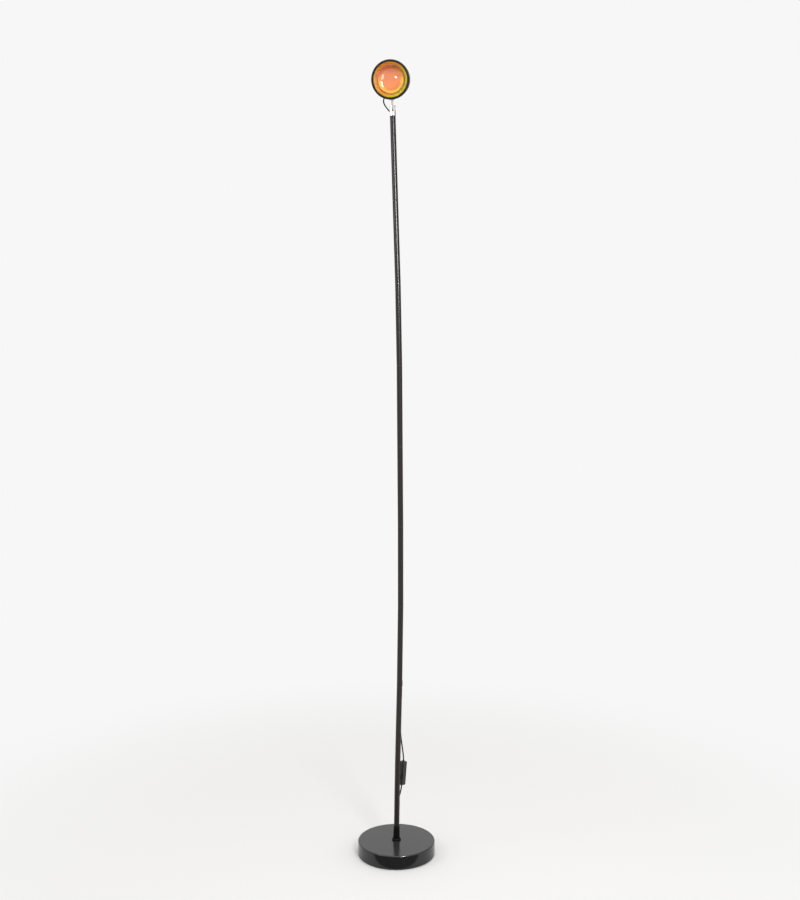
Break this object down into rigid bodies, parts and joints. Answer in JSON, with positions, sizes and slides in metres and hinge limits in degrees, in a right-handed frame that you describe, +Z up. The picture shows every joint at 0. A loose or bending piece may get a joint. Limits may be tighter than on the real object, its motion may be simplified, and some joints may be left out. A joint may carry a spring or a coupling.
{
  "type": "floor-standing sunset projection lamp",
  "caption": "Slim black floor lamp on a round base, with a tilting round projector head whose domed glass lens throws a sunset-coloured light.",
  "frame": {"origin": "on the floor, at the centre of the round base", "axes": "+Z up along the pole, -Y the way the lamp head faces, +X to the right as seen from the front"},
  "size_m": [0.18, 0.2228, 1.8221],
  "materials": {
    "powder_coat_black": "satin",
    "pole_black": "gloss",
    "cast_iron": "rough",
    "zinc_steel": "satin",
    "foam_pad": "matte",
    "chrome_plate": "polished",
    "anodised_black": "satin",
    "bare_aluminium": "satin",
    "polished_aluminium": "polished",
    "tinted_chrome": "polished",
    "clear_glass": "polished",
    "coated_glass": "polished",
    "white_plastic": "satin",
    "black_rubber": "matte",
    "cord_sheath": "matte",
    "wire_red": "satin",
    "switch_black": "matte",
    "brass_contact": "satin"
  },
  "bodies": {
    "stand": {"base_cover": "powder_coat_black", "base_weight": "cast_iron", "base_plate": "zinc_steel", "base_pad": "foam_pad", "base_washer": "zinc_steel", "base_nut": "zinc_steel", "foot_rod": "zinc_steel", "foot_collar": "powder_coat_black", "foot_socket": "powder_coat_black", "pole_tube_1": "pole_black", "pole_tube_2": "pole_black", "pole_tube_3": "pole_black", "pole_tube_4": "pole_black", "pole_tube_5": "pole_black", "pole_tube_6": "pole_black", "pole_tube_7": "pole_black", "pole_tube_8": "pole_black", "pole_tube_9": "pole_black", "pole_connectors": "zinc_steel", "inner_cable": "cord_sheath", "cord_outlet": "black_rubber", "top_bush": "pole_black", "glide_washer": "white_plastic", "cord_upper": "cord_sheath", "switch_front": "switch_black", "switch_back": "switch_black", "switch_screws": "chrome_plate", "switch_contacts": "brass_contact", "cord_lower": "cord_sheath", "cord_hank": "cord_sheath", "cord_tie": "black_rubber", "cord_tail": "cord_sheath", "plug_grip": "switch_black", "plug_shell": "chrome_plate", "plug_tongue": "white_plastic"},
    "swivel": {"fork": "chrome_plate", "spindle": "zinc_steel", "lock_nut": "zinc_steel", "spindle_cable": "cord_sheath", "hinge_screw": "chrome_plate", "hinge_nut": "chrome_plate", "friction_washers": "white_plastic", "head_lead": "cord_sheath"},
    "head": {"hinge_tongue": "bare_aluminium", "tongue_screws": "chrome_plate", "head_can": "anodised_black", "bezel": "anodised_black", "rear_cap": "anodised_black", "cap_screws": "chrome_plate", "lens": "clear_glass", "lens_cone": "tinted_chrome", "filter_disc": "coated_glass", "reflector": "polished_aluminium", "led_board": "white_plastic", "heat_sink": "bare_aluminium", "lead_grommet": "black_rubber", "led_wires": "wire_red"},
    "rocker": {"switch_rocker": "switch_black"}
  },
  "joints": [
    {"name": "head_pan", "type": "hinge", "parent": "stand", "child": "swivel", "pos_m": [-0.00773, 0, 1.69769], "axis": [-0.0305, 0, 0.9995], "range_deg": [-170, 170]},
    {"name": "head_tilt", "type": "hinge", "parent": "swivel", "child": "head", "pos_m": [-0.00823, 0, 1.71423], "axis": [0.9971, -0.0698, 0.0305], "range_deg": [-103, 77], "deforming": ["head_lead"]},
    {"name": "switch_press", "type": "hinge", "parent": "stand", "child": "rocker", "pos_m": [0.0125, 0.0102, 0.18983], "axis": [0.7052, -0.7071, -0.0518], "range_deg": [0, 12]}
  ]
}
